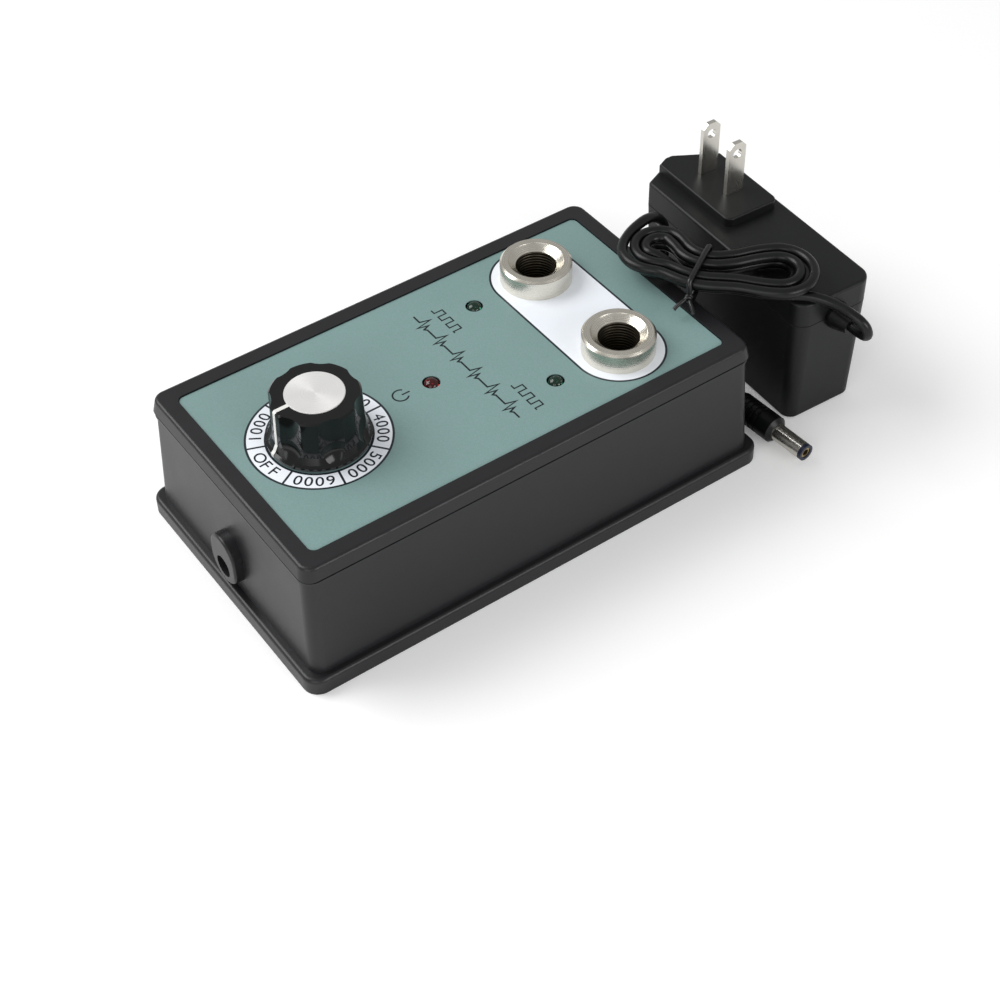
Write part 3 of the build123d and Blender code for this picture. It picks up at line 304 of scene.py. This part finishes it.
class Places(Field):
    """Where a point of the surface is on its piece, in millimetres."""

    def __init__(self, tree):
        super().__init__(tree)
        spot = self.node("ShaderNodeTexCoord", output=3)
        self.parts = self.node("ShaderNodeVectorMath", {"operation": "SCALE"},
                               {0: spot, "Scale": 1 / MM})
        split = self.tree.nodes.new("ShaderNodeSeparateXYZ")
        self.tree.links.new(self.parts.socket, split.inputs[0])
        self.x, self.y, self.z = (Field(tree, out) for out in split.outputs)

    def noise(self, size, detail=3.0, stretch=(1.0, 1.0, 1.0), rough=0.5):
        """Noise from 0 to 1 with features about size millimetres across."""
        scaled = self.node("ShaderNodeVectorMath", {"operation": "MULTIPLY"},
                           {0: self.parts, 1: tuple(s / size for s in stretch)})
        return self.node("ShaderNodeTexNoise", {"noise_dimensions": "3D"},
                         {"Vector": scaled, "Scale": 1.0, "Detail": detail, "Roughness": rough})

    def from_axis(self, x, y):
        across = self.x - x
        along = self.y - y
        return (across * across + along * along).math("SQRT")


def finish(name, build, **constants):
    """A material whose build function returns what varies: colour, roughness, height."""
    material = bpy.data.materials.new(name)
    material.use_nodes = True
    tree = material.node_tree
    shader = next(node for node in tree.nodes if node.type == "BSDF_PRINCIPLED")
    for key, value in constants.items():
        shader.inputs[key.replace("_", " ")].default_value = value
    place = Places(tree)
    varied = build(place)
    height, depth = varied.pop("height", None), varied.pop("depth", None)
    if height is not None:
        bump = place.node("ShaderNodeBump", None, {"Height": height, "Distance": depth * MM,
                                                   "Strength": 1.0})
        tree.links.new(bump.socket, shader.inputs["Normal"])
    for key, value in varied.items():
        target = shader.inputs[key.replace("_", " ")]
        if isinstance(value, Field):
            tree.links.new(value.socket, target)
        else:
            target.default_value = value
    return material


def dress(names, material):
    """Gives a finish to CAD nodes, by name, or to pieces made here."""
    for name in names:
        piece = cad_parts[name] if isinstance(name, str) else name
        if not piece.material_slots:
            piece.data.materials.append(material)
        for slot in piece.material_slots:
            slot.link = "OBJECT"
            slot.material = material


def shade(red, green, blue):
    """A colour as a screen shows it, turned into the linear values that light needs."""
    def line(value):
        value /= 255.0
        return value / 12.92 if value <= 0.04045 else ((value + 0.055) / 1.055) ** 2.4
    return (line(red), line(green), line(blue))


def moulded(tone, gloss, grain=0.35, depth=0.012, speck=0.12):
    """Moulded plastic: fine grain with a slow change of tone and gloss."""
    def build(place):
        fine = place.noise(grain, detail=2.0)
        broad = place.noise(14.0, detail=3.0)
        light = tuple(channel * (1 + speck * 3) + 0.002 for channel in tone)
        return {"Base_Color": (broad * 0.7 + fine * 0.3).colour(tone, light),
                "Roughness": gloss + (broad - 0.5) * 0.10 + (fine - 0.5) * 0.08,
                "height": fine, "depth": depth}
    return build


case_black = finish("case_black", moulded(shade(27, 27, 29), 0.34), Specular_IOR_Level=0.38)
dress(["case_shell", "base_plate", "jack_bezel"], case_black)

# The face label. It is a printed polyester film in a shallow recess: muted teal, a white
# field round the plug sockets, and a white dial ring under the knob with seven divisions.
LABEL_TOP = 44.0
SOCKET_X, SOCKET_Y = 20.0, 43.4
FIELD_RADIUS = 13.7
DIAL_Y, DIAL_OUTER, DIAL_INNER = -44.7, 20.4, 14.9
DIAL_DIVISIONS = (-60.8, -111.0, -163.8, -216.5, -269.3, -321.1, -371.4, -420.8)
PRINT_LINE = 0.33
FAR_OFF = 50.0
INK = shade(24, 34, 42)


def printed_film(place):
    weave = place.noise(0.45, detail=3.0, rough=0.7)
    broad = place.noise(40.0, detail=2.0)
    teal = (broad * 0.25 + weave * 0.75).colour(shade(104, 134, 131), shade(141, 169, 167))
    white = weave.colour(shade(239, 245, 253), shade(246, 250, 255))
    beyond = (abs(place.x) - SOCKET_X).math("MAXIMUM", 0.0)
    off_row = place.y - SOCKET_Y
    field = (beyond * beyond + off_row * off_row).math("SQRT") - FIELD_RADIUS
    out = place.from_axis(0.0, DIAL_Y)
    ring = abs(out - (DIAL_OUTER + DIAL_INNER) / 2) - (DIAL_OUTER - DIAL_INNER) / 2
    divider = None
    for division in DIAL_DIVISIONS:
        way = toward(division)
        off_line = abs(place.x * -way.y + (place.y - DIAL_Y) * way.x)
        behind = (place.x * way.x + (place.y - DIAL_Y) * way.y).below(0.0, 0.1)
        gap = off_line + behind * FAR_OFF
        divider = gap if divider is None else divider.math("MINIMUM", gap)
    nearest = field.math("MINIMUM", ring)
    bars = divider.below(PRINT_LINE, 0.12) * ring.below(0.0, 0.1)
    edge = abs(nearest).below(PRINT_LINE, 0.12).math("MAXIMUM", bars)
    base = nearest.below(0.0, 0.08).colour(teal, white)
    return {"Base_Color": edge.colour(base, INK), "Roughness": 0.42 + (weave - 0.5) * 0.12,
            "height": weave, "depth": 0.006}


film = finish("printed_film", printed_film, Specular_IOR_Level=0.4)
dress(["face_label"], film)
print_black = finish("print_black", moulded(shade(20, 28, 34), 0.5), Specular_IOR_Level=0.3)

# The printing on the label. It is a thin dark ink layer: the dial's numbers, and a plain
# symbol by each lamp and across the face, each a flat shape just above the film.
PRINT_TOP = LABEL_TOP + 0.02
GLYPH_SIZE, GLYPH_WIDEN, GLYPH_SWELL = 4.9, 1.06, 0.008
DIAL_WORDS = ("OFF", "1000", "2000", "3000", "4000", "5000", "6000")
OFF_LETTER_STEP, NUMBER_STEP = 11.1, 9.7


def flat_piece(name, vertices, faces):
    """Printed ink: a flat mesh that rides on the tester."""
    data = bpy.data.meshes.new(name)
    data.from_pydata([tuple(Vector(v) * MM) for v in vertices], [], faces)
    data.update()
    piece = bpy.data.objects.new(name, data)
    bpy.context.scene.collection.objects.link(piece)
    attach(piece, "tester")
    dress([piece], print_black)
    return piece


def glyph(name, letter, place, right, up):
    """One printed letter, centred on a place; a 4 keeps its hole only with no offset."""
    text = bpy.data.curves.new(name, "FONT")
    text.body = letter
    text.size = GLYPH_SIZE
    text.offset = 0.0 if letter == "4" else GLYPH_SWELL * GLYPH_SIZE
    text.resolution_u = 6
    holder = bpy.data.objects.new(name + "_type", text)
    bpy.context.scene.collection.objects.link(holder)
    bpy.context.view_layer.update()
    graph = bpy.context.evaluated_depsgraph_get()
    outline = bpy.data.meshes.new_from_object(holder.evaluated_get(graph))
    xs = [v.co.x for v in outline.vertices]
    ys = [v.co.y for v in outline.vertices]
    middle_x, middle_y = (min(xs) + max(xs)) / 2, (min(ys) + max(ys)) / 2
    vertices = []
    for v in outline.vertices:
        spot = place + right * (v.co.x - middle_x) * GLYPH_WIDEN + up * (v.co.y - middle_y)
        vertices.append((spot.x, spot.y, PRINT_TOP))
    faces = [tuple(face.vertices) for face in outline.polygons]
    bpy.data.objects.remove(holder)
    return flat_piece(name, vertices, faces)


for index, word in enumerate(DIAL_WORDS):
    upside_down = index == 0
    centre = (DIAL_DIVISIONS[index] + DIAL_DIVISIONS[index + 1]) / 2
    letter_step = OFF_LETTER_STEP if upside_down else NUMBER_STEP
    for n, letter in enumerate(word):
        shift = (n - (len(word) - 1) / 2) * letter_step
        outward = toward(centre + shift if upside_down else centre - shift)
        upright = -outward if upside_down else outward
        rightward = Vector((upright.y, -upright.x, 0.0))
        place = Vector((0.0, DIAL_Y, 0.0)) + outward * ((DIAL_OUTER + DIAL_INNER) / 2)
        glyph("dial_%d_%d" % (index, n), letter, place, rightward, upright)


SHARPEST_MITRE = 0.35
POWER_RADIUS, POWER_WIDTH = 2.3, 0.5
PULSE_TRAINS = (("left", -19.6), ("right", 20.6))
PULSE_Y, PULSE_RISE, PULSE_WIDTH = 11.0, 1.4, 0.45
SPARK_Y, SPARK_END, SPARK_PITCH, SPARK_WIDTH = 3.9, 26.5, 8.6, 0.55
SPARK_SHAPE = ((1.6, 0.0), (2.5, 3.2), (3.5, -1.9), (4.3, 1.3), (5.1, -0.7), (5.8, 0.0))


def ribbon(name, line, width):
    """A printed stroke of even width along a line of points, with mitred corners."""
    vertices, faces = [], []
    for n, point in enumerate(line):
        here = Vector(point)
        before = (here - Vector(line[n - 1])).normalized() if n else None
        after = (Vector(line[n + 1]) - here).normalized() if n + 1 < len(line) else None
        way = (before + after).normalized() if before and after else before or after
        aside = Vector((-way.y, way.x))
        reach = width / 2
        if before and after:
            reach /= max(SHARPEST_MITRE, aside.dot(Vector((-after.y, after.x))))
        for side in (-1, 1):
            spot = here + aside * reach * side
            vertices.append((spot.x, spot.y, PRINT_TOP))
    for n in range(len(line) - 1):
        faces.append((2 * n, 2 * n + 2, 2 * n + 3, 2 * n + 1))
    return flat_piece(name, vertices, faces)


power_spot = Vector((-0.5, -17.7))
power_arc = []
for angle in range(38, 323, 12):
    turn = math.radians(angle)
    power_arc.append(power_spot + Vector((math.sin(turn), math.cos(turn))) * POWER_RADIUS)
ribbon("power_ring", power_arc, POWER_WIDTH)
ribbon("power_bar", [power_spot + Vector((0.0, low)) for low in (0.4, 3.0)], POWER_WIDTH)
for name, x in PULSE_TRAINS:
    pulse = [(-6.2, -PULSE_RISE)]
    for start in (-4.6, -0.6, 3.4):
        pulse += [(start, -PULSE_RISE), (start, PULSE_RISE),
                  (start + 2.0, PULSE_RISE), (start + 2.0, -PULSE_RISE)]
    pulse.append((6.2, -PULSE_RISE))
    ribbon("pulse_" + name, [(x + px, PULSE_Y + py) for px, py in pulse], PULSE_WIDTH)
spark_line = [(-SPARK_END, 0.0)]
for n in range(6):
    start = -25.0 + n * SPARK_PITCH
    spark_line += [(start + px, py) for px, py in SPARK_SHAPE]
spark_line.append((SPARK_END, 0.0))
ribbon("spark_trace", [(px, SPARK_Y + py) for px, py in spark_line], SPARK_WIDTH)

# The plug sockets. Each is a turned and nickel-plated steel sleeve with a countersunk mouth.
# Lathe lines run round it, and the bore below the countersink is finely threaded.
BORE_RADIUS = 6.3
THREAD_TOP, THREAD_PITCH = LABEL_TOP + 4.75, 1.0


def turned_nickel(place):
    across = abs(place.x) - SOCKET_X
    along = place.y - SOCKET_Y
    out = (across * across + along * along).math("SQRT")
    rings = place.node("ShaderNodeTexNoise", {"noise_dimensions": "1D"},
                       {"W": (out * 4.0 + place.z * 5.0), "Scale": 1.0, "Detail": 5.0})
    blotch = place.noise(3.5, detail=3.0)
    inside = out.below(BORE_RADIUS, 0.1) * place.z.below(THREAD_TOP, 0.1)
    thread = (place.z * (2 * math.pi / THREAD_PITCH)).math("SINE") * 0.5 + 0.5
    bright = (rings * 0.7 + blotch * 0.3).colour(shade(190, 184, 170), shade(248, 244, 234))
    # painted shade: the bore below the countersink is coloured much darker than the plating, and
    # darker still in each thread groove
    painted_bore_shade = thread.colour(shade(52, 48, 42), shade(104, 97, 84))
    return {"Base_Color": inside.colour(bright, painted_bore_shade),
            "Roughness": 0.23 + (rings - 0.5) * 0.26 + (blotch - 0.5) * 0.12 + inside * 0.2,
            "height": rings * (1 - inside) * 0.5 + inside * thread * 4.0, "depth": 0.05}


dress(["plug_sockets"], finish("turned_nickel", turned_nickel, Metallic=1.0))

# The lamps. They are 5 mm domes of tinted epoxy, unlit, that show the two posts of the lead
# frame inside as small pale bars.
POST_SIDES = 12
POST_RADIUS, POST_APART = 0.4, 1.5
POST_FOOT, POST_TOPS = 37.5, (44.7, 44.1)
LAMPS = (("power", 0.0, -7.7), ("left", -20.1, 21.0), ("right", 20.1, 21.0))


def lens(tint, deep):
    def build(place):
        cloud = place.noise(2.5, detail=2.0)
        return {"Base_Color": cloud.colour(deep, tint), "Roughness": 0.05 + cloud * 0.05,
                "height": cloud, "depth": 0.002}
    return build


red_lens = finish("red_lens", lens(shade(160, 40, 36), shade(118, 22, 20)),
                  Transmission_Weight=0.85, IOR=1.5)
green_lens = finish("green_lens", lens(shade(46, 112, 84), shade(22, 80, 58)),
                    Transmission_Weight=0.85, IOR=1.5)
dress(["power_lamp"], red_lens)
dress(["signal_lamps"], green_lens)


def metal(tone, gloss, grain=(1.0, 1.0, 12.0), size=0.5, depth=0.004):
    """Drawn or plated metal: fine lines along its length."""
    def build(place):
        lines = place.noise(size, detail=3.0, stretch=grain)
        broad = place.noise(6.0, detail=2.0)
        dark = tuple(channel * 0.78 for channel in tone)
        return {"Base_Color": (lines * 0.5 + broad * 0.5).colour(dark, tone),
                "Roughness": gloss + (lines - 0.5) * 0.16 + (broad - 0.5) * 0.08,
                "height": lines, "depth": depth}
    return build


lamp_metal = finish("lamp_metal", metal(shade(214, 212, 206), 0.3), Metallic=1.0)


def lathe(name, outline, x, y):
    """A turned piece from (radius, height) pairs about an upright axis."""
    vertices, faces = [], []
    for radius, height in outline:
        for k in range(POST_SIDES):
            turn = 2 * math.pi * k / POST_SIDES
            vertices.append((x + radius * math.cos(turn), y + radius * math.sin(turn), height))
    for row in range(len(outline) - 1):
        below, above = row * POST_SIDES, (row + 1) * POST_SIDES
        for k in range(POST_SIDES):
            following = (k + 1) % POST_SIDES
            faces.append((below + k, below + following, above + following, above + k))
    data = bpy.data.meshes.new(name)
    data.from_pydata([tuple(Vector(v) * MM) for v in vertices], [], faces)
    data.polygons.foreach_set("use_smooth", [True] * len(data.polygons))
    data.update()
    piece = bpy.data.objects.new(name, data)
    bpy.context.scene.collection.objects.link(piece)
    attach(piece, "tester")
    return piece


for name, x, y in LAMPS:
    for side, top in zip((-1, 1), POST_TOPS):
        post = lathe("post_%s_%d" % (name, side + 2),
                     [(0.001, POST_FOOT), (POST_RADIUS, POST_FOOT), (POST_RADIUS, top - 0.1),
                      (POST_RADIUS - 0.1, top), (0.001, top)],
                     x + side * POST_APART / 2, y)
        dress([post], lamp_metal)

# The knob. It is polished black phenolic with broad flutes and a flared skirt, a white
# pointer line let into it, and a spun aluminium disc set in its top.
knob_black = finish("knob_black", moulded(shade(6, 7, 7), 0.13, grain=2.5, depth=0.004),
                    Specular_IOR_Level=0.42)
pointer_white = finish("pointer_white", moulded(shade(228, 228, 224), 0.35, speck=0.02))


def spun_disc(place):
    out = place.from_axis(0.0, DIAL_Y)
    rings = place.node("ShaderNodeTexNoise", {"noise_dimensions": "1D"},
                       {"W": out * 9.0, "Scale": 1.0, "Detail": 3.0})
    cloud = place.noise(5.0, detail=2.0)
    return {"Base_Color": (rings * 0.6 + cloud * 0.4).colour(shade(226, 225, 223),
                                                            shade(252, 251, 249)),
            "Roughness": 0.3 + (rings - 0.5) * 0.12, "height": rings, "depth": 0.012}


dress(["knob"], knob_black)
dress(["knob_pointer"], pointer_white)
dress(["knob_cap"], finish("spun_disc", spun_disc, Metallic=0.4, Anisotropic=0.8))

# The supply. Its two half shells are black polycarbonate with a sparked texture that meet
# at a fine open seam, and the blades on its boss are nickel-plated brass strip.
SEAM_HEIGHT = 37.8


def shell_black(place):
    seam = abs(place.z - SEAM_HEIGHT).below(0.22, 0.12)
    fine = place.noise(0.28, detail=2.0)
    broad = place.noise(18.0, detail=3.0)
    plain = (broad * 0.7 + fine * 0.3).colour(shade(14, 15, 15), shade(21, 22, 22))
    return {"Base_Color": seam.colour(plain, shade(6, 6, 6)),
            "Roughness": 0.42 + (broad - 0.5) * 0.08 + seam * 0.3,
            "height": fine * 0.25 - seam * 3.0, "depth": 0.05}


supply_black = finish("supply_black", shell_black, Specular_IOR_Level=0.32)
dress(["supply_back", "supply_front"], supply_black)
plated = finish("plated", metal(shade(236, 233, 224), 0.24, grain=(1.0, 1.0, 0.1), size=0.4,
                                depth=0.001), Metallic=1.0)
dress(["supply_blades", "plug_barrel"], plated)
vinyl = finish("vinyl", moulded(shade(8, 9, 9), 0.32, grain=0.8, depth=0.01),
               Specular_IOR_Level=0.34)
dress([cord, "strain_relief", "plug_grip"], vinyl)
tie_black = finish("tie_black", moulded(shade(10, 10, 11), 0.30, grain=0.6, depth=0.02))
dress([tie_loop] + tie_ends, tie_black)
insulator = finish("insulator", moulded(shade(24, 32, 52), 0.35, speck=0.05))
dress(["plug_ring"], insulator)
dress(["plug_contact", "jack_pin"],
      finish("contact_brass", metal(shade(206, 186, 140), 0.28), Metallic=1.0))

# What is inside and underneath. Screws, springs, the speed control and the circuit board
# show only where a case is opened, and each still has the finish of the real thing.
zinc = finish("zinc", metal(shade(176, 176, 176), 0.34), Metallic=1.0)
dress(["base_screws", "board_screws", "socket_nuts", "socket_washers", "pot_washer", "pot_nut",
       "pot_body", "pot_terminals", "lamp_legs", "contact_spring_left", "contact_spring_right"],
      zinc)
dress(["contact_plunger_left", "contact_plunger_right", "contact_seats", "pot_bushing",
       "knob_insert"], finish("brass", metal(shade(200, 168, 104), 0.3), Metallic=1.0))
dress(["heat_sink", "pot_shaft"], finish("aluminium", metal(shade(200, 200, 202), 0.35),
                                         Metallic=1.0))
dress(["contact_guides", "transformer_bobbin"],
      finish("nylon", moulded(shade(206, 202, 190), 0.5, speck=0.03)))
dress(["pot_switch", "pot_rotor"], finish("phenolic", moulded(shade(84, 52, 34), 0.5)))
dress(["dc_jack", "power_transistor", "timer_chip"],
      finish("component_black", moulded(shade(22, 22, 23), 0.45)))
dress(["transformer_core"], finish("ferrite", moulded(shade(50, 50, 54), 0.6, grain=0.2)))
dress(["transformer_winding", "supply_transformer"],
      finish("yellow_tape", moulded(shade(202, 168, 40), 0.3, speck=0.04)))
dress(["board_capacitors"], finish("sleeve", moulded(shade(30, 38, 74), 0.25)))
dress(["board_resistors"], finish("lacquer", moulded(shade(190, 166, 120), 0.4, speck=0.03)))
dress(["hv_leads", "panel_leads", "supply_leads"],
      finish("red_insulation", moulded(shade(140, 20, 16), 0.4, speck=0.05)))


def lacquered_board(place):
    mottle = place.noise(3.0, detail=3.0)
    copper = abs(place.noise(7.0, stretch=(1.0, 0.25, 1.0)) - 0.5).below(0.05, 0.02)
    plain = mottle.colour(shade(22, 84, 44), shade(30, 102, 56))
    return {"Base_Color": copper.colour(plain, shade(46, 128, 70)),
            "Roughness": 0.32 + mottle * 0.1, "height": copper, "depth": 0.03}


dress(["main_board", "supply_board"], finish("lacquered_board", lacquered_board))

# The studio. A pale floor of matt paper runs out of view on every side. One strong soft
# light and two weaker ones stand over it, in a room of even white light.
FLOOR_REACH, FLOOR_HEIGHT = 4.0, -0.0002
floor_corners = [(x * FLOOR_REACH, y * FLOOR_REACH, FLOOR_HEIGHT)
                 for x, y in ((-1, -1), (1, -1), (1, 1), (-1, 1))]
floor_data = bpy.data.meshes.new("studio_floor")
floor_data.from_pydata(floor_corners, [], [(0, 1, 2, 3)])
floor = bpy.data.objects.new("studio_floor", floor_data)
bpy.context.scene.collection.objects.link(floor)


def paper(place):
    """Matt white paper, a little brighter where it is seen directly than in reflections."""
    seen = place.node("ShaderNodeLightPath")
    return {"Base_Color": place.noise(60.0).colour((0.93, 0.93, 0.93), (0.95, 0.95, 0.95)),
            "Emission_Color": seen.colour((0.0, 0.0, 0.0), (0.16, 0.16, 0.16)),
            "Roughness": 0.9}


floor_white = finish("floor_white", paper, Specular_IOR_Level=0.0, Emission_Strength=1.0)
floor_data.materials.append(floor_white)


def softbox(name, place, aim, width, height, power):
    """A soft lamp at a place that looks at aim; all in metres and watts."""
    data = bpy.data.lights.new(name, "AREA")
    data.shape = "RECTANGLE"
    data.size, data.size_y = width, height
    data.energy = power
    lamp = bpy.data.objects.new(name, data)
    lamp.location = place
    lamp.rotation_mode = "QUATERNION"
    lamp.rotation_quaternion = (Vector(aim) - Vector(place)).to_track_quat("-Z", "Y")
    bpy.context.scene.collection.objects.link(lamp)


softbox("key_light", (-0.5, -0.42, 0.7), (0.0, 0.0, 0.0), 0.65, 0.65, 6.4)
softbox("front_light", (0.7, -0.9, 0.55), (0.0, 0.0, 0.02), 0.8, 0.8, 3.4)
softbox("side_light", (1.1, 0.3, 0.5), (0.0, 0.05, 0.02), 0.7, 0.5, 4.5)
world = bpy.data.worlds.new("studio")
world.use_nodes = True
sky = next(node for node in world.node_tree.nodes if node.type == "BACKGROUND")
sky.inputs["Color"].default_value = (1.0, 1.0, 1.0, 1.0)
sky.inputs["Strength"].default_value = 0.43
bpy.context.scene.world = world
bpy.context.scene.view_settings.view_transform = "Standard"
